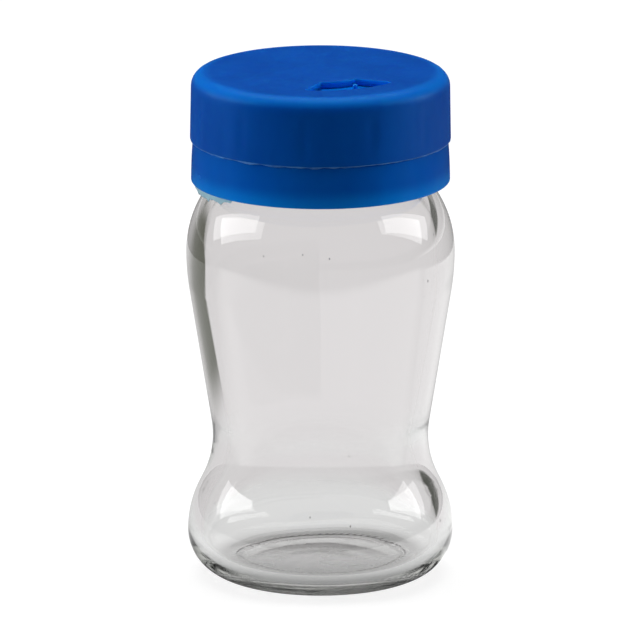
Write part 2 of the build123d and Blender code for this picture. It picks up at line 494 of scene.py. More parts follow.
def rise(values, start, length):
    """Share from 0 to 1 as values run from a start over a length, which is negative if they fall."""
    return np.clip((values - start) / length, 0, 1)


def bell(values, width):
    """Smooth hump of height 1 about 0."""
    return np.exp(-((values / width) ** 2))


def off_from(azimuths, azimuth, period=tau):
    """Angles from the nearest of the marks that start at an azimuth and come once a period."""
    return (azimuths - around(azimuth) + period / 2) % period - period / 2


def waves(azimuths, heights, seed, terms, longest):
    """Smooth uneven field between about -1 and 1."""
    draw = random.Random(seed)
    total = np.zeros_like(azimuths)
    for _ in range(terms):
        around_count = draw.randint(1, most_waves_around)
        height_length = longest * draw.uniform(shortest_wave_share, 1)
        phase, tilt = draw.uniform(0, tau), draw.uniform(0, tau)
        total += np.cos(around_count * azimuths + phase) * np.cos(tau * heights / height_length + tilt)
    return total / sqrt(terms)


def drawn(seed, count, least):
    """Random shares between a least one and 1."""
    draw = random.Random(seed)
    return np.array([draw.uniform(least, 1.0) for _ in range(count)])


def ragged(marks, azimuths):
    """Values at azimuths between marks that stand evenly once around."""
    return np.interp(azimuths / tau * len(marks), np.arange(len(marks) + 1), np.append(marks, marks[0]))


def helix_rib(heights, azimuths, start_height):
    """Height, from 0 to 1, of the thread's right-hand helical rib."""
    total = np.zeros_like(azimuths)
    for lap in range(ceil(thread_turns) + 1):
        wound = azimuths + lap * tau
        along = rise(np.minimum(wound, thread_turns * tau - wound), 0, thread_fade)
        off = (heights - start_height - thread_pitch * wound / tau) / (thread_width / 2)
        crest = np.clip(1 - off**2, 0, 1) ** thread_crest
        total = np.maximum(total, crest * along * along * (3 - 2 * along))
    return total


# Glass jar

def extra_wall(heights):
    """Extra thickness of the glass wall at heights, smoothed so that no crease shows."""
    places, extras = zip(*wall_extra)
    steps = np.linspace(-2 * wall_evening, 2 * wall_evening, wall_evening_steps)
    weights = bell(steps, wall_evening)
    nearby = sum(weight * np.interp(heights + step, places, extras) for step, weight in zip(steps, weights))
    return nearby / weights.sum()


def groove(radii, azimuths):
    """Depth of the ragged groove under the jar."""
    worn = sum(bell(off_from(azimuths, azimuth), groove_worn_spread) for azimuth in groove_worn_azimuths)
    off = radii - (bearing_outer - groove_setback)
    wide = groove_width * (1 + groove_worn_growth * worn)
    return groove_depth * ragged(drawn(*groove_marks), azimuths) * (1 + worn) * bell(off, wide)


def jar_shape(outside_count):
    """Bends the jar's turned surface: thread, mould seams, stippled foot and an uneven inner wall."""
    def shape(radii, heights, azimuths):
        outside = (np.arange(len(radii))[:, None] + np.zeros_like(radii)) < outside_count
        on_neck = outside & (heights > thread_start_height - thread_pitch)
        rib = helix_rib(heights, azimuths, thread_start_height)
        radii = radii + np.where(on_neck, thread_proud * rib, 0)
        on_side = outside & (heights > heel_radius) & (heights < rim_height - rim_outer_round)
        seams = bell(off_from(azimuths, seam_azimuth, pi) * radii, seam_width)
        radii = radii + np.where(on_side, seam_proud * seams, 0)
        share = rise(heights, glass_floor, wall_fade_low)
        share = share * rise(heights, rim_height - even_neck, -wall_fade_high)
        uneven = wall_unevenness * waves(azimuths, heights, *inner_wall_waves) - extra_wall(heights)
        radii = radii + np.where(outside, 0, share * uneven)
        on_floor = ~outside & (heights < glass_floor + floor_reach)
        sag = floor_unevenness * waves(azimuths, radii, *inner_floor_waves) * rise(radii, 0, floor_fade)
        heights = heights + np.where(on_floor, sag, 0)
        on_ring = outside & (heights < ON_LEVEL) & (radii > bearing_inner + ring_edge)
        knurl = np.clip(np.sin(azimuths * knurl_count + radii * knurl_twist), 0, 1) * knurl_depth
        heights = heights + np.where(on_ring, knurl, 0)
        under = outside & (heights < push_up_height + knurl_depth) & (radii < bearing_outer - ring_edge)
        heights = heights + np.where(under, groove(radii, azimuths), 0)
        return radii, heights
    return shape


def add_bubbles(mesh, outside):
    """Adds air bubbles to the glass: small closed shells that face inwards, longer than wide."""
    made = bmesh.new()
    made.from_mesh(mesh)
    side = outside[outside[:, 1] > heel_radius / 2]
    for azimuth, height, depth, radius in bubbles:
        middle = np.interp(height, side[:, 1], side[:, 0]) - depth
        angle = around(azimuth)
        place = Matrix.Translation(Vector((middle * cos(angle), middle * sin(angle), height)) * MM)
        size = Matrix.Diagonal((radius * MM, radius * MM, bubble_stretch * radius * MM, 1))
        shell = bmesh.ops.create_icosphere(made, subdivisions=2, radius=1, matrix=place @ size)
        faces = {face for corner in shell["verts"] for face in corner.link_faces}
        bmesh.ops.reverse_faces(made, faces=list(faces))
        for face in faces:
            face.smooth = True
    made.to_mesh(mesh)
    made.free()


def build_jar():
    """Glass jar as one closed surface, outside and inside."""
    slope = 2 * atan2(push_up_height, bearing_inner)
    push_up_arc = bearing_inner / sin(slope)
    shoulder_end = acos((neck_radius - shoulder_centre[0]) / shoulder_arc)
    bead_bottom = shoulder_centre[1] + shoulder_arc * sin(shoulder_end) + bead_rise
    bead_top = bead_bottom + bead_width
    rim_middle = ((neck_radius + bore_radius) / 2, rim_height, 0)
    rim_outer = (neck_radius, rim_height, rim_outer_round)
    rim_inner = (bore_radius, rim_height, rim_inner_round)
    outside = joined(
        arc((0, push_up_height - push_up_arc), push_up_arc, pi / 2, pi / 2 - slope),
        straight((bearing_inner, 0), (bearing_outer, 0), RING_STEP),
        arc((bearing_outer, heel_radius), heel_radius, -pi / 2, 0),
        jar_side(0, neck_radius, bead_bottom),
        bead(neck_radius, bead_proud, bead_bottom, bead_top),
        rounded([(neck_radius, bead_top, 0), rim_outer, rim_middle], EDGE_STEP),
    )
    inner_heel = heel_radius - glass_floor
    inner_heel_centre = (lower_bulge_radius - glass_wall - inner_heel, heel_radius)
    mouth_low = rim_height - mouth_depth
    within = joined(
        rounded([rim_middle, rim_inner, (bore_radius, mouth_low, 0)], EDGE_STEP),
        jar_side(glass_wall, bore_radius, mouth_low)[::-1],
        arc(inner_heel_centre, inner_heel, 0, -pi / 2),
        straight((inner_heel_centre[0], glass_floor), (0, glass_floor), FLOOR_STEP),
    )
    jar = piece_from("jar_glass", *turned(joined(outside, within), JAR_SEGMENTS, jar_shape(len(outside))))
    add_bubbles(jar.data, outside)
    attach(jar, "jar")
    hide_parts("glass_jar")
    return jar


# Closure

def build_gasket():
    """Sealing ring with rounded edges."""
    inner, outer = bore_radius + gasket_clearance, skirt_inner_radius - gasket_clearance
    middle = (inner + outer) / 2
    corners = ((outer, rim_height), (outer, gasket_top), (inner, gasket_top), (inner, rim_height))
    start = (middle, rim_height, 0)
    profile = rounded([start, *[(*corner, gasket_round) for corner in corners], start])
    gasket = piece_from("sealing_ring", *turned(profile, CLOSURE_SEGMENTS))
    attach(gasket, "seal")
    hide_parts("rim_gasket")
    return gasket


def slot_loop(length, width, count):
    """Loop of a slot with round ends, its length along X."""
    half, radius = (length - width) / 2, width / 2
    first = arc((half, 0), radius, -pi / 2, pi / 2, tau * radius / count)
    return np.concatenate((first, -first))


def hole_rings(loop_at, top, bottom, edge_round, steps=4):
    """Levels of a hole's wall whose upper edge is rounded in steps, with loop_at(growth) for its loops."""
    levels = []
    for step in range(steps + 1):
        angle = pi / 2 * step / steps
        levels.append((loop_at(edge_round * (1 - sin(angle))), top - edge_round * (1 - cos(angle))))
    levels.append((loop_at(0), bottom))
    return levels


def deck_hole(radius, azimuth, length, width, count):
    """Levels of the wall of a hole through the deck, whose length points outwards."""
    def loop_at(growth):
        return placed(slot_loop(length + 2 * growth, width + 2 * growth, count), radius, azimuth)
    return hole_rings(loop_at, deck_top, deck_bottom, deck_hole_round)


def deck_holes():
    """Levels of the walls of all the holes through the deck."""
    across = 2 * sprinkle_hole_radius
    holes = []
    for row, azimuths in sprinkle_rows:
        radius = window_middle_radius + row * sprinkle_row_pitch
        holes += [deck_hole(radius, azimuth, across, across, SPRINKLE_POINTS) for azimuth in azimuths]
    pour = (window_middle_radius, pour_hole_azimuth, pour_hole_length, pour_hole_width, POUR_POINTS)
    return [*holes, deck_hole(*pour)]


def post_mesh():
    """Stop post on the sifter deck."""
    profile = rounded([
        (post_radius + post_flare, deck_top - post_sink, 0),
        (post_radius, deck_top + post_flare, post_foot_round),
        (post_radius, post_top, post_tip_round), (0, post_top, 0),
    ], POST_STEP)
    vertices, faces = turned(profile, POST_SEGMENTS)
    flat = placed(vertices[:, :2], window_middle_radius, post_azimuth)
    return np.column_stack((flat, vertices[:, 2])), faces


def base_shape(radii, heights, azimuths):
    """Bends the sifter base: its thread inside the skirt and a slightly uneven band."""
    in_skirt = (np.abs(radii - skirt_inner_radius) < ON_LEVEL) & (heights > ledge_bottom + thread_margin)
    rib = helix_rib(heights, azimuths, thread_start_height + thread_pitch / 2)
    radii = radii - np.where(in_skirt, thread_proud * rib, 0)
    on_band = radii > band_top_radius - band_wall / 2
    drawn_in = band_bow * rise(heights, band_bottom, ledge_top - band_bottom) ** band_bow_power
    uneven = closure_unevenness * (1 + waves(azimuths, heights, *band_waves))
    return radii - np.where(on_band, drawn_in + uneven, 0), heights


def build_sifter_base():
    """Lower part of the closure: deck with its holes and post, thread skirt, ledge and glossy band."""
    plate_radius = window_outer_radius + deck_plate_margin
    band_inner_top, band_inner_bottom = band_top_radius - band_wall, band_bottom_radius - band_wall
    snap, snap_low, snap_high = snap_bead(skirt_radius, base_bead_proud, base_bead_height)
    profile = joined(
        rounded([(plate_radius, deck_top, 0), (skirt_radius, deck_top, deck_edge_round),
                 (skirt_radius, snap_high, 0)]),
        snap[::-1],
        rounded([(skirt_radius, snap_low, 0), (skirt_radius, ledge_top, ledge_corner_round),
                 (band_top_radius, ledge_top, band_edge_round),
                 (band_bottom_radius, band_bottom, band_edge_round),
                 (band_inner_bottom, band_bottom, inner_edge_round),
                 (band_inner_top, ledge_bottom, band_hollow_round),
                 (skirt_inner_radius, ledge_bottom, inner_edge_round),
                 (skirt_inner_radius, deck_bottom, 0), (plate_radius, deck_bottom, 0)], EDGE_STEP),
    )
    holes = deck_holes()
    base = piece_from("sifter_base_moulding", *together(
        turned(profile, CLOSURE_SEGMENTS, base_shape),
        plate(plate_radius, [levels[0][0] for levels in holes], deck_top),
        plate(plate_radius, [levels[-1][0] for levels in holes], deck_bottom),
        *[wall(levels) for levels in holes],
        post_mesh(),
    ))
    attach(base, "closure")
    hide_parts("sifter_base")
    return base


def respaced(line, count):
    """A line with another number of points."""
    shares, places = np.linspace(0, 1, count), np.linspace(0, 1, len(line))
    return np.stack([np.interp(shares, places, line[:, axis]) for axis in (0, 1)], axis=1)


def window_loop(growth):
    """Loop of the cover's window, grown outwards, with as many points at every growth."""
    spread = radians(window_spread)
    along, outward = np.array((cos(spread), sin(spread))), np.array((-sin(spread), cos(spread)))
    start = np.array((window_apex_radius, 0.0)) - outward * window_corner_round
    corner_round = window_corner_round + growth

    def corner_centre(distance):
        middle = start @ along
        return start + along * (sqrt(middle**2 - start @ start + distance**2) - middle)

    inner = corner_centre(window_inner_radius + window_corner_round)
    outer = corner_centre(window_outer_radius - window_corner_round)
    inner_turn = atan2(inner[1], inner[0])
    outer_turn = atan2(outer[1], outer[0])
    end_turn = atan2(outward[1], outward[0])
    pieces = [
        arc((0, 0), window_inner_radius - growth, 0, inner_turn, WINDOW_STEP),
        arc(inner, corner_round, inner_turn + pi, end_turn, WINDOW_CORNER_STEP),
        arc(outer, corner_round, end_turn, outer_turn, WINDOW_CORNER_STEP),
        arc((0, 0), window_outer_radius + growth, outer_turn, 0, WINDOW_STEP),
    ]
    half = np.concatenate([respaced(line, count) for line, count in zip(pieces, WINDOW_POINTS)])
    return placed(joined(half, half[::-1] * (1, -1))[:-1], 0, cover_azimuth)


def cover_shape(radii, heights, azimuths):
    """Bends the cover: ribs inside its skirt, sink marks over them outside, and a slightly uneven wall."""
    off = off_from(azimuths, cover_azimuth, tau / rib_count)
    outside = radii > cover_top_radius - cover_wall / 2
    tall = rise(heights, closure_top - sink_fade, -sink_fade) * rise(heights, cover_open_edge, sink_fade)
    radii = radii - np.where(outside, sink_depth * bell(off * radii, sink_width) * tall, 0)
    uneven = closure_unevenness * (1 + waves(azimuths, heights, *cover_waves))
    radii = radii - np.where(outside, uneven, 0)
    rib = rib_depth * rise(np.abs(off) * radii, (rib_width + rib_edge) / 2, -rib_edge)
    rib = rib * rise(heights, rib_bottom, rib_edge)
    on_wall = ~outside & (radii > cover_top_radius - cover_wall - ON_WALL)
    on_wall = on_wall & (heights > rib_bottom) & (heights < cover_underside)
    return radii - np.where(on_wall, rib, 0), heights


def build_cover():
    """Upper part of the closure, which turns: satin cup with a fan-shaped window in its top."""
    plate_radius = window_outer_radius + cover_plate_margin
    inner_open, inner_top = cover_open_radius - cover_wall, cover_top_radius - cover_wall
    snap, snap_low, snap_high = snap_bead(inner_open, -cover_bead_proud, cover_bead_height)
    profile = joined(
        rounded([(plate_radius, closure_top, 0), (cover_top_radius, closure_top, cover_edge_round),
                 (cover_open_radius, cover_open_edge, cover_lip_round),
                 (inner_open, cover_open_edge, inner_edge_round), (inner_open, snap_low, 0)], COVER_STEP),
        snap,
        rounded([(inner_open, snap_high, 0), (inner_top, cover_underside, cover_edge_round - cover_wall),
                 (plate_radius, cover_underside, 0)], COVER_INNER_STEP),
    )
    levels = hole_rings(window_loop, closure_top, cover_underside, window_lip_round, steps=6)
    cover = piece_from("cover_moulding", *together(
        turned(profile, CLOSURE_SEGMENTS, cover_shape),
        plate(plate_radius, [levels[0][0]], closure_top),
        plate(plate_radius, [levels[-1][0]], cover_underside),
        wall(levels),
    ))
    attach(cover, "cover")
    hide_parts("rotating_cover")
    return cover


def build_burr():
    """Ragged burr of thin plastic along the cover's lower lip."""
    tips = drawn(*burr_marks) ** burr_sharpness
    swell = np.sin(full_circle(len(tips)) * burr_stretches + burr_phase)
    tips = tips * (1 - burr_swell_share + burr_swell_share * swell)
    angles = full_circle(2 * CLOSURE_SEGMENTS)
    drops = burr_drop * ragged(tips, angles)
    inner = band_top_radius + burr_gap
    middle, outer = inner + burr_thickness / 2, inner + burr_thickness
    shoulder = -burr_shoulder_share * drops
    section = zip((outer, outer, middle, inner, inner), (burr_root, shoulder, -drops, shoulder, burr_root))
    rings = [polar(radius, angles, cover_open_edge + height) for radius, height in section]
    burr = piece_from("lip_burr", np.concatenate(rings), grid_faces(len(rings), len(angles), closed=True))
    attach(burr, "cover")
    return burr


def build_flash():
    """Ragged tongue of thin plastic that hangs from the band's lower edge, leaning inwards."""
    tips = drawn(*flash_marks)
    shares = np.linspace(0, 1, FLASH_COLUMNS)
    rag = np.interp(shares, np.linspace(0, 1, len(tips)), tips)
    hang = flash_drop * np.sqrt(np.sin(pi * shares)) * rag
    down = hang[:, None] * np.linspace(0, 1, FLASH_ROWS)
    outer = band_bottom_radius - band_edge_round - flash_lean_share * down
    radii = np.concatenate((outer, outer[:, ::-1] - flash_thickness), axis=1)
    heights = band_bottom + flash_root - np.concatenate((down, down[:, ::-1]), axis=1)
    angles = around(np.linspace(flash_from, flash_to, FLASH_COLUMNS))[:, None]
    faces = grid_faces(FLASH_COLUMNS, 2 * FLASH_ROWS)
    flash = piece_from("band_flash", polar(radii, angles, heights), faces)
    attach(flash, "closure")
    return flash


# Materials

WHITE = (1, 1, 1, 1)

# Clear glass with a faint green-grey body. Its foot is frosted within an edge and below a top
GLASS_TINT = (0.80, 0.85, 0.79, 1)
GLASS_DENSITY = 16
FROSTED_EDGE = (15.0, 16.5)
FROSTED_TOP = (2.0, 3.0)
FROST_ROUGHNESS = (0.14, 0.34)
GLASS_IOR = 1.52

# Blues of the plastic: a paler blue for painted light (painted glow where light comes through thin plastic,
# and painted highlights), and the blues of the glossy base and of the satin cover
PAINTED_LIGHT_BLUE = (0.002, 0.22, 0.78, 1)
BASE_BLUES = ((0.001, 0.098, 0.50, 1), (0.002, 0.122, 0.58, 1))
COVER_BLUES = ((0.0, 0.067, 0.40, 1), (0.001, 0.088, 0.48, 1))
FLASH_BLUES = ((0.30, 0.60, 0.80, 1), (0.60, 0.88, 0.98, 1))
# The burr's paler blue is a painted glow, for light that comes through the thin burr
BURR_BLUES = ((0.004, 0.11, 0.50, 1), (0.09, 0.30, 0.76, 1))
RUBBER_TONES = ((0.78, 0.78, 0.75, 1), (0.86, 0.86, 0.83, 1))
RUBBER_ROUGHNESS = (0.55, 0.7)

# Light that gloss throws back from the blue plastic, and how far light runs under its face, by colour
PLASTIC_SHINE = (0.0, 0.55, 1.0, 1)
PLASTIC_REACH = 1.5
PLASTIC_REACHES = (0.1, 0.5, 1.0)

# Sizes of what varies over a face: tone, sheen and relief, and how deep the relief is
FROST_GRAIN = 4
RUBBER_GRAINS = (3, 1.2, 0.3)
PLASTIC_GRAINS = (14, 6, 5)
FINE_GRAIN = 0.4
FLASH_GRAIN = 1.5
BURR_GRAIN = 2.5
RELIEF = 0.02

# Where the plastic is painted towards the paler blue, for light: a painted glow at thin lower edges,
# painted highlights on the cover's rim and window lip, and painted light on the deck under the window. An
# edge fades from its first height to its second, and a zone sets in from the first to the second of two
# radii, and of two heights, up to its share
# Painted glow at the band's lower edge and the cover's lower lip, for light that comes through thin plastic
base_painted_glow_edge = (band_bottom, band_bottom + 4)
cover_painted_glow_edge = (cover_open_edge - 1, cover_open_edge + 0.3)
# Painted highlight on the cover's rounded rim: depths below the top and radii of its zone
rim_highlight_drops = (2.2, 0.8)
rim_highlight_radii = (21.6, 24.2)
# Painted highlight on the window's lip: depth below the top and margins beyond the window's outer radius
lip_highlight_drop = 0.3
lip_highlight_margins = (1.2, 0.6)
# Painted light on the deck's top within the window's reach, lifting the shade that falls in the window
base_painted_light_zones = (((skirt_radius, window_outer_radius), (deck_bottom, deck_top), 0.8),)
cover_painted_light_zones = (
    (rim_highlight_radii, [closure_top - drop for drop in rim_highlight_drops], 0.45),
    ([window_outer_radius + margin for margin in lip_highlight_margins], (closure_top, closure_top - lip_highlight_drop), 1.0),
)


def in_metres(lengths):
    """Lengths in metres from millimetres."""
    return [length * MM for length in lengths]


class Nodes:
    """Node tree with short calls to add and link nodes."""

    def __init__(self, tree):
        self.tree = tree

    def add(self, kind, inputs=None, **settings):
        """New node with settings, and with inputs that are values or other nodes' outputs."""
        node = self.tree.nodes.new("ShaderNode" + kind)
        for name, value in settings.items():
            setattr(node, name, value)
        for name, value in (inputs or {}).items():
            self.put(node.inputs[name], value)
        return node

    def put(self, socket, value):
        """Sets a socket to a value, or links another node's output to it."""
        if isinstance(value, bpy.types.NodeSocket):
            self.tree.links.new(value, socket)
        else:
            socket.default_value = value

    def math(self, operation, *values):
        return self.add("Math", dict(enumerate(values)), operation=operation).outputs[0]

    def times(self, first, second):
        return self.math("MULTIPLY", first, second)

    def length(self, vector, stretch=(1, 1, 1)):
        """Length of a vector that is stretched along the axes first."""
        inputs = {0: vector, 1: stretch}
        longer = self.add("VectorMath", inputs, operation="MULTIPLY").outputs["Vector"]
        return self.add("VectorMath", {0: longer}, operation="LENGTH").outputs["Value"]

    def parts(self, vector):
        """X, Y and Z of a vector."""
        return self.add("SeparateXYZ", {"Vector": vector}).outputs

    def azimuth(self, x, y):
        """Azimuth of a place or direction, in degrees from +Y towards +X."""
        return self.math("DEGREES", self.math("ARCTAN2", x, y))

    def ramp(self, factor, low, high, start=0.3, end=0.7, smooth=False):
        """Number that runs from low to high as a factor runs from start to end."""
        ends = {"From Min": start, "From Max": end, "To Min": low, "To Max": high}
        kind = "SMOOTHSTEP" if smooth else "LINEAR"
        node = self.add("MapRange", {"Value": factor, **ends}, interpolation_type=kind)
        return node.outputs["Result"]

    def mask(self, value, rising, falling):
        """Smooth window over a value: it rises over its first pair, and falls over its second."""
        first = self.ramp(value, 0, 1, *rising, smooth=True)
        return self.times(first, self.ramp(value, 0, 1, *falling, smooth=True))

    def blend(self, factor, first, second):
        """Colour between two colours."""
        inputs = {"Factor": factor, "A": first, "B": second}
        return self.add("Mix", inputs, data_type="RGBA").outputs["Result"]

    def mix(self, factor, first, second):
        """Shader between two shaders."""
        return self.add("MixShader", {0: factor, 1: first, 2: second}).outputs[0]

    def path(self):
        """Kind and depth of the ray."""
        return self.add("LightPath").outputs

    def sky(self, strength, colour=WHITE):
        """Light from far away."""
        return self.add("Background", {"Color": colour, "Strength": strength}).outputs[0]

    def glow(self, strength, colour=WHITE):
        """Surface that shines by itself."""
        return self.add("Emission", {"Color": colour, "Strength": strength}).outputs[0]

    def matt(self, level):
        """Matt grey surface."""
        return self.add("BsdfDiffuse", {"Color": (level, level, level, 1)}).outputs[0]

    def lit(self, strength, level):
        """Matt grey surface that shines by itself too."""
        return self.add("AddShader", {0: self.glow(strength), 1: self.matt(level)}).outputs[0]

    def clear(self):
        """Surface that is not there."""
        return self.add("BsdfTransparent").outputs[0]


def emptied(owner):
    """Node tree of a world or material without its first nodes."""
    owner.use_nodes = True
    owner.node_tree.nodes.clear()
    return Nodes(owner.node_tree)


class Shader(Nodes):
    """Node tree of a new material whose main shader is set by name."""

    def __init__(self, name):
        self.material = bpy.data.materials.new(name)
        self.material.use_nodes = True
        super().__init__(self.material.node_tree)
        self.main = self.tree.nodes["Principled BSDF"]
        self.output = self.tree.nodes["Material Output"]
        self.coordinates = self.add("TexCoord").outputs["Object"]
        self.height = self.parts(self.coordinates)["Z"]
        self.away = self.length(self.coordinates, (1, 1, 0))

    def noise(self, size, detail=3.0, roughness=0.5, stretch=(1, 1, 1)):
        """Noise whose features are about a size in millimetres, as a number from 0 to 1."""
        place = self.add("Mapping", {"Vector": self.coordinates, "Scale": stretch}).outputs["Vector"]
        inputs = {"Vector": place, "Scale": 1 / (size * MM), "Detail": detail, "Roughness": roughness}
        return self.add("TexNoise", inputs).outputs["Fac"]

    def bump(self, height, depth, normal=None):
        """Normal bent by a height from 0 to 1, a depth in millimetres deep."""
        node = self.add("Bump", {"Height": height, "Distance": depth * MM})
        if normal is not None:
            self.put(node.inputs["Normal"], normal)
        return node.outputs["Normal"]

    def set(self, **inputs):
        """Sets inputs of the main shader, named with _ for each space."""
        for name, value in inputs.items():
            self.put(self.main.inputs[name.replace("_", " ")], value)


def glass_material():
    """Clear fire-polished glass, sharp in its reflections but for the frosted plate in its foot."""
    shader = Shader("clear_glass")
    low = shader.ramp(shader.height, 1, 0, *in_metres(FROSTED_TOP))
    plate_share = shader.times(low, shader.ramp(shader.away, 1, 0, *in_metres(FROSTED_EDGE)))
    frost = shader.times(plate_share, shader.ramp(shader.noise(FROST_GRAIN), *FROST_ROUGHNESS))
    shader.set(Base_Color=WHITE, Transmission_Weight=1.0, IOR=GLASS_IOR, Roughness=frost)
    absorption = shader.add("VolumeAbsorption", {"Color": GLASS_TINT, "Density": GLASS_DENSITY})
    shader.put(shader.output.inputs["Volume"], absorption.outputs["Volume"])
    return shader.material


def rubber_material():
    """Soft matte sealing ring."""
    shader = Shader("seal_rubber")
    tone, sheen, relief = [shader.noise(size) for size in RUBBER_GRAINS]
    shader.set(Base_Color=shader.blend(tone, *RUBBER_TONES), Specular_IOR_Level=0.3)
    shader.set(Roughness=shader.ramp(sheen, *RUBBER_ROUGHNESS))
    shader.set(Normal=shader.bump(relief, RELIEF))
    return shader.material


def plastic_material(name, blues, roughness, grain, gloss, painted_glow_edge, painted_light_zones):
    """Moulded blue plastic: slow flow marks, painted light in a paler blue (glow at thin edges,
    highlights), and its own finish.
    """
    shader = Shader(name)
    flow_size, sheen_size, relief_size = PLASTIC_GRAINS
    flow = shader.noise(flow_size, detail=4.0, roughness=0.55, stretch=(1, 1, 0.5))
    tone = shader.blend(shader.ramp(flow, 0, 1), *blues)
    # Painted light: zones painted towards the paler blue, for highlights and for light in shade
    for radii, heights, share in painted_light_zones:
        out = shader.ramp(shader.away, 0, share, *in_metres(radii), smooth=True)
        up = shader.ramp(shader.height, 0, 1, *in_metres(heights), smooth=True)
        tone = shader.blend(shader.times(out, up), tone, PAINTED_LIGHT_BLUE)
    # Painted glow: the lower edge is painted paler, for light that comes through the thin plastic
    thin = shader.ramp(shader.height, 1, 0, *in_metres(painted_glow_edge), smooth=True)
    shader.set(Base_Color=shader.blend(thin, tone, PAINTED_LIGHT_BLUE))
    shader.set(Specular_IOR_Level=gloss, Specular_Tint=PLASTIC_SHINE, Subsurface_Weight=0.5)
    shader.set(Subsurface_Radius=PLASTIC_REACHES, Subsurface_Scale=PLASTIC_REACH * MM)
    fine = shader.bump(shader.noise(FINE_GRAIN), grain)
    shader.set(Roughness=shader.ramp(shader.noise(sheen_size, detail=5.0), *roughness))
    shader.set(Normal=shader.bump(shader.noise(relief_size, detail=2.0), RELIEF, fine))
    return shader.material


def flash_material():
    """Thin plastic that light comes through, paler than the thick wall."""
    shader = Shader("thin_blue_plastic")
    shader.set(Base_Color=shader.blend(shader.noise(FLASH_GRAIN), *FLASH_BLUES), Roughness=0.3)
    return shader.material


def burr_material():
    """Thin edge of blue plastic, painted paler in patches: a painted glow for light that comes through it.
    """
    shader = Shader("burr_blue_with_painted_glow")
    share = shader.ramp(shader.noise(BURR_GRAIN), 0, 1)
    shader.set(Base_Color=shader.blend(share, *BURR_BLUES), Roughness=0.4)
    return shader.material


def dress(piece, material):
    """Gives a piece one material."""
    piece.data.materials.clear()
    piece.data.materials.append(material)


# Studio, in metres: azimuths are in degrees from straight behind the jar (+Y) towards the right (+X)

# What glass sees: pale surroundings and dark flags, each with the azimuths and elevations at which it rises
# and falls, and the share of the light that it takes
PALE = (0.71, 0.685, 0.692, 1)
DARK = (0.05, 0.055, 0.042, 1)
FLAGS = (
    (((26, 30), (47, 43)), ((-3, -1), (7, 5)), 0.85),
    (((-47, -43), (-30, -26)), ((-3, -1), (7, 5)), 0.65),
)

# A narrow flag close beside the jar, which darkens the wall seen edge on at the left. In millimetres: how
# far behind the jar's middle it stands, how far beyond the jar's side it sets in, is full and ends, and the
# heights where it fades
NEAR_FLAG_PLACE = 10.0
NEAR_FLAG_ACROSS = (-1.2, 7.2, 20.0)
NEAR_FLAG_FULL = (0, 1, 1)
NEAR_FLAG_LOW = (23.0, 38.0)
NEAR_FLAG_HIGH = (81.0, 72.0)
NEAR_FLAG_ROWS = 40
NEAR_FLAG_COLOUR = (0.135, 0.138, 0.114, 1)
# Light that stays in the wall passes two faces of the glass, and light that crosses the hollow four
WALL_ONLY = 3

# What gloss sees: a dim room, a backdrop behind the jar, and a bright floor round it, darker at its foot in
# a painted contact shade
ROOM_LEVEL = 0.03
BACKDROP_LEVELS = (0.6, 1.3)
BACKDROP_LEVEL_AZIMUTHS = (20, 45)
BACKDROP_AZIMUTHS = ((-80, -62), (95, 78))
BACKDROP_ELEVATIONS = (1, -3)
BRIGHT_FLOOR_LEVEL = 1.6
BRIGHT_FLOOR_EDGE = (0.26, 0.17)
BRIGHT_FLOOR_START = (0.025, 0.05)
BRIGHT_FLOOR_STRETCH = (0.6, 1, 1)
BRIGHT_FLOOR_FRONT = (-0.01, 0.03)
# The floor carries the backdrop's light on up to here, and is dim beyond
FAR_FLOOR = (0.30, 0.33)
FAR_FLOOR_LEVEL = 0.08
# Polished glass sees all of this in its sharp reflections, and satin plastic only a share
SATIN_SHARE = 0.3

# What matt surfaces see from all around, and how much of it the floor sends back
SOFT_LEVEL = 0.09
FLOOR_BOUNCE = 0.12

# The floor that the camera sees, and the floor under the jar that glass sees: what it adds where it is lit.
# The floor that glass sees gives out less near the jar and least under it, a painted shadow, while its
# shade part takes the real shadow
FLOOR_HALF = 1.5
FLOOR_GLOW = 0.80
FLOOR_SHADE = 0.3
NEAR_FLOOR = (0.10, 0.05)
NEAR_FLOOR_GLOW = 0.56
NEAR_FLOOR_SHADE = 0.2
UNDER_FLOOR = (0.018, 0.025)
UNDER_FLOOR_GLOW = 0.27


def backdrop(nodes, azimuth):
    """Brightness of the backdrop that gloss sees behind the jar, brighter towards the right."""
    level = nodes.ramp(azimuth, *BACKDROP_LEVELS, *BACKDROP_LEVEL_AZIMUTHS)
    return nodes.times(level, nodes.mask(azimuth, *BACKDROP_AZIMUTHS))


def gloss_level(nodes, level):
    """Brightness that gloss sees: all in a sharp reflection, a share in a blurred one."""
    share = nodes.ramp(nodes.path()["Is Singular Ray"], SATIN_SHARE, 1, 0, 1)
    return nodes.math("MAXIMUM", nodes.times(level, share), ROOM_LEVEL)


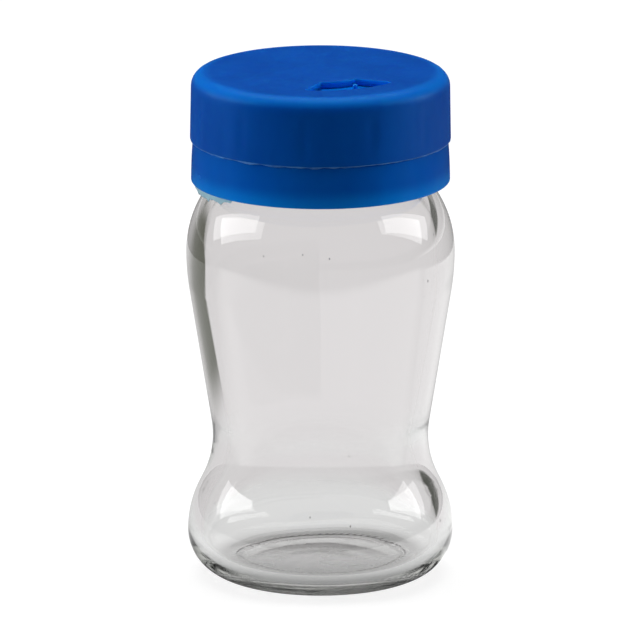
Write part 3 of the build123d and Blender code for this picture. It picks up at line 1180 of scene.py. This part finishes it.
def studio_world():
    """White to the camera. Glass sees pale surroundings with flags, and gloss a backdrop in a dim room."""
    world = bpy.data.worlds.new("studio")
    nodes = emptied(world)
    x, y, z = nodes.parts(nodes.add("TexCoord").outputs["Generated"])
    azimuth = nodes.azimuth(x, y)
    elevation = nodes.math("DEGREES", nodes.math("ARCSINE", z))
    uncovered = 1.0
    for azimuths, elevations, share in FLAGS:
        covered = nodes.times(nodes.mask(azimuth, *azimuths), nodes.mask(elevation, *elevations))
        uncovered = nodes.times(uncovered, nodes.math("MULTIPLY_ADD", covered, -share, 1.0))
    through = nodes.sky(1.0, nodes.blend(uncovered, DARK, PALE))
    low = nodes.ramp(elevation, 0, 1, *BACKDROP_ELEVATIONS, smooth=True)
    gloss = nodes.sky(gloss_level(nodes, nodes.times(backdrop(nodes, azimuth), low)))
    path = nodes.path()
    look = nodes.mix(path["Is Glossy Ray"], nodes.sky(SOFT_LEVEL), gloss)
    look = nodes.mix(path["Is Transmission Ray"], look, through)
    look = nodes.mix(path["Is Camera Ray"], look, nodes.sky(1.0))
    nodes.add("OutputWorld", {"Surface": look})
    bpy.context.scene.world = world


def staged(name, places, faces):
    """Piece of the studio, and the node tree of its material."""
    mesh = bpy.data.meshes.new(name)
    mesh.from_pydata(places, [], faces)
    piece = in_scene(name, mesh)
    material = bpy.data.materials.new(name)
    mesh.materials.append(material)
    return piece, emptied(material)


def studio_floor():
    """Plain white floor that keeps the jar's shadow."""
    low, high = -FLOOR_HALF, FLOOR_HALF
    corners = [(low, low, 0), (high, low, 0), (high, high, 0), (low, high, 0)]
    _, nodes = staged("studio_floor", corners, [(0, 1, 2, 3)])
    place = nodes.add("TexCoord").outputs["Object"]
    x, y, _ = nodes.parts(place)
    away = nodes.length(place)
    far_level = nodes.ramp(away, BACKDROP_LEVELS[1], FAR_FLOOR_LEVEL, *FAR_FLOOR)
    behind = nodes.math("MINIMUM", backdrop(nodes, nodes.azimuth(x, y)), far_level)
    spread = nodes.length(place, BRIGHT_FLOOR_STRETCH)
    # Bright floor round the jar, with a painted shade close to its foot
    round_foot = nodes.times(nodes.ramp(away, 0, 1, *BRIGHT_FLOOR_START, smooth=True),
                             nodes.ramp(spread, 0, 1, *BRIGHT_FLOOR_EDGE, smooth=True))
    front = nodes.ramp(y, BRIGHT_FLOOR_LEVEL, BACKDROP_LEVELS[0], *BRIGHT_FLOOR_FRONT)
    gloss = nodes.glow(gloss_level(nodes, nodes.math("MAXIMUM", behind, nodes.times(round_foot, front))))
    # Painted shadow: the floor that glass sees gives out less near the jar and least under it
    under = nodes.ramp(away, UNDER_FLOOR_GLOW, NEAR_FLOOR_GLOW, *UNDER_FLOOR, smooth=True)
    near = nodes.ramp(away, 0, 1, *NEAR_FLOOR, smooth=True)
    through = nodes.mix(near, nodes.clear(), nodes.lit(under, NEAR_FLOOR_SHADE))
    path = nodes.path()
    look = nodes.mix(path["Is Diffuse Ray"], nodes.lit(FLOOR_GLOW, FLOOR_SHADE), nodes.matt(FLOOR_BOUNCE))
    look = nodes.mix(path["Is Glossy Ray"], look, gloss)
    look = nodes.mix(path["Is Transmission Ray"], look, through)
    nodes.add("OutputMaterial", {"Surface": look})


def near_flag():
    """Narrow dark flag beside the jar's left side that only light within the glass wall meets."""
    heights = np.linspace(NEAR_FLAG_LOW[0], NEAR_FLAG_HIGH[0], NEAR_FLAG_ROWS)
    side = jar_side(0, neck_radius, NEAR_FLAG_HIGH[0])
    radii = np.interp(heights, side[:, 1], side[:, 0])
    places = [in_metres((-(radius + across), NEAR_FLAG_PLACE, height))
              for radius, height in zip(radii, heights) for across in NEAR_FLAG_ACROSS]
    columns = len(NEAR_FLAG_ACROSS)
    faces = [(i, i + 1, i + 1 + columns, i + columns)
             for i in range(len(places) - columns) if (i + 1) % columns]
    flag, nodes = staged("near_flag", places, faces)
    flag.visible_camera = flag.visible_diffuse = flag.visible_glossy = flag.visible_shadow = False
    fullness = flag.data.attributes.new("fullness", "FLOAT", "POINT")
    fullness.data.foreach_set("value", NEAR_FLAG_FULL * NEAR_FLAG_ROWS)
    height = nodes.parts(nodes.add("TexCoord").outputs["Object"])["Z"]
    across = nodes.add("Attribute", attribute_name="fullness").outputs["Fac"]
    fades = nodes.mask(height, in_metres(NEAR_FLAG_LOW), in_metres(NEAR_FLAG_HIGH))
    full = nodes.times(nodes.ramp(across, 0, 1, 0, 1, smooth=True), fades)
    in_wall = nodes.math("LESS_THAN", nodes.path()["Transmission Depth"], WALL_ONLY)
    look = nodes.mix(nodes.times(full, in_wall), nodes.clear(), nodes.glow(1.0, NEAR_FLAG_COLOUR))
    nodes.add("OutputMaterial", {"Surface": look})


# Lamps: azimuth, elevation, distance, size, brightness, roll, and whether gloss and glass see them
LAMPS = {
    "left_box": (-88, 25, 1.0, (0.84, 0.30), 2.7, 33, True),
    "right_box": (88, 25, 1.0, (0.84, 0.30), 2.6, -33, True),
    "top_box": (0, 76, 0.9, (0.9, 0.9), 0.8, 0, True),
    "top_fill": (0, 80, 0.9, (0.9, 0.9), 2.3, 0, False),
    "left_fill": (-96, 4, 1.0, (0.4, 0.4), 10.0, 0, False),
    "right_fill": (100, 4, 1.0, (0.4, 0.4), 4.6, 0, False),
}
LAMP_AIM = Vector((0, 0, 0.05))
# Lamps show in the first reflections within the glass, and not as sparks after many
LAMP_DEPTH = 8


def aim(holder, towards, roll=0.0):
    """Turns a lamp or camera to look along a direction, rolled by degrees."""
    holder.rotation_mode = "QUATERNION"
    holder.rotation_quaternion = towards.to_track_quat("-Z", "Y") @ Quaternion((0, 0, 1), radians(roll))


def soft_box(name, azimuth, elevation, distance, size, level, roll, shown):
    """Soft rectangular lamp that faces the jar."""
    lamp = bpy.data.lights.new(name, "AREA")
    lamp.shape, lamp.size, lamp.size_y = "RECTANGLE", size[0], size[1]
    lamp.energy = level * pi * size[0] * size[1]
    holder = in_scene(name, lamp)
    turn, rise_angle = radians(azimuth), radians(elevation)
    towards = Vector((sin(turn) * cos(rise_angle), cos(turn) * cos(rise_angle), sin(rise_angle)))
    holder.location = LAMP_AIM + towards * distance
    aim(holder, -towards, roll)
    holder.visible_camera = False
    holder.visible_glossy = holder.visible_transmission = shown
    lamp.use_nodes = True
    nodes = Nodes(lamp.node_tree)
    early = nodes.math("LESS_THAN", nodes.path()["Ray Depth"], LAMP_DEPTH)
    nodes.put(lamp.node_tree.nodes["Emission"].inputs["Strength"], early)


# Camera at the photograph's viewing angle, from a long distance
CAMERA_ELEVATION = 14.3
CAMERA_DISTANCE = 2.0
CAMERA_REACH = 20
SENSOR_WIDTH = 36
PIXELS_PER_METRE = 5020
PHOTO_WIDTH = 640
AIM_HEIGHT = 0.0515
AIM_PIXEL = (320.5, 321.1)


def make_camera():
    """Camera that shows the aim height on the jar's axis at the aim pixel."""
    data = bpy.data.cameras.new("camera")
    data.sensor_width = SENSOR_WIDTH
    data.lens = data.sensor_width * CAMERA_DISTANCE * PIXELS_PER_METRE / PHOTO_WIDTH
    data.clip_end = CAMERA_REACH
    camera = in_scene("camera", data)
    tilt = radians(CAMERA_ELEVATION)
    back, up = Vector((0, -cos(tilt), sin(tilt))), Vector((0, sin(tilt), cos(tilt)))
    middle = PHOTO_WIDTH / 2
    seen = Vector((0, 0, AIM_HEIGHT)) + up * ((AIM_PIXEL[1] - middle) / PIXELS_PER_METRE)
    seen.x -= (AIM_PIXEL[0] - middle) / PIXELS_PER_METRE
    camera.location = seen + back * CAMERA_DISTANCE
    aim(camera, -back)
    bpy.context.scene.camera = camera


bpy.context.scene.view_settings.view_transform = "Standard"
# Light turned back many times in the thick foot of the glass still gets out
bpy.context.scene.cycles.glossy_bounces = 12
make_camera()
studio_world()
studio_floor()
near_flag()
for name, settings in LAMPS.items():
    soft_box(name, *settings)

dress(build_jar(), glass_material())
dress(build_gasket(), rubber_material())
dress(build_sifter_base(), plastic_material(
    "glossy_blue_plastic", BASE_BLUES, roughness=(0.18, 0.28), grain=0.002, gloss=0.7,
    painted_glow_edge=base_painted_glow_edge, painted_light_zones=base_painted_light_zones))
dress(build_cover(), plastic_material(
    "satin_blue_plastic", COVER_BLUES, roughness=(0.36, 0.48), grain=0.014, gloss=0.55,
    painted_glow_edge=cover_painted_glow_edge, painted_light_zones=cover_painted_light_zones))
dress(build_burr(), burr_material())
dress(build_flash(), flash_material())
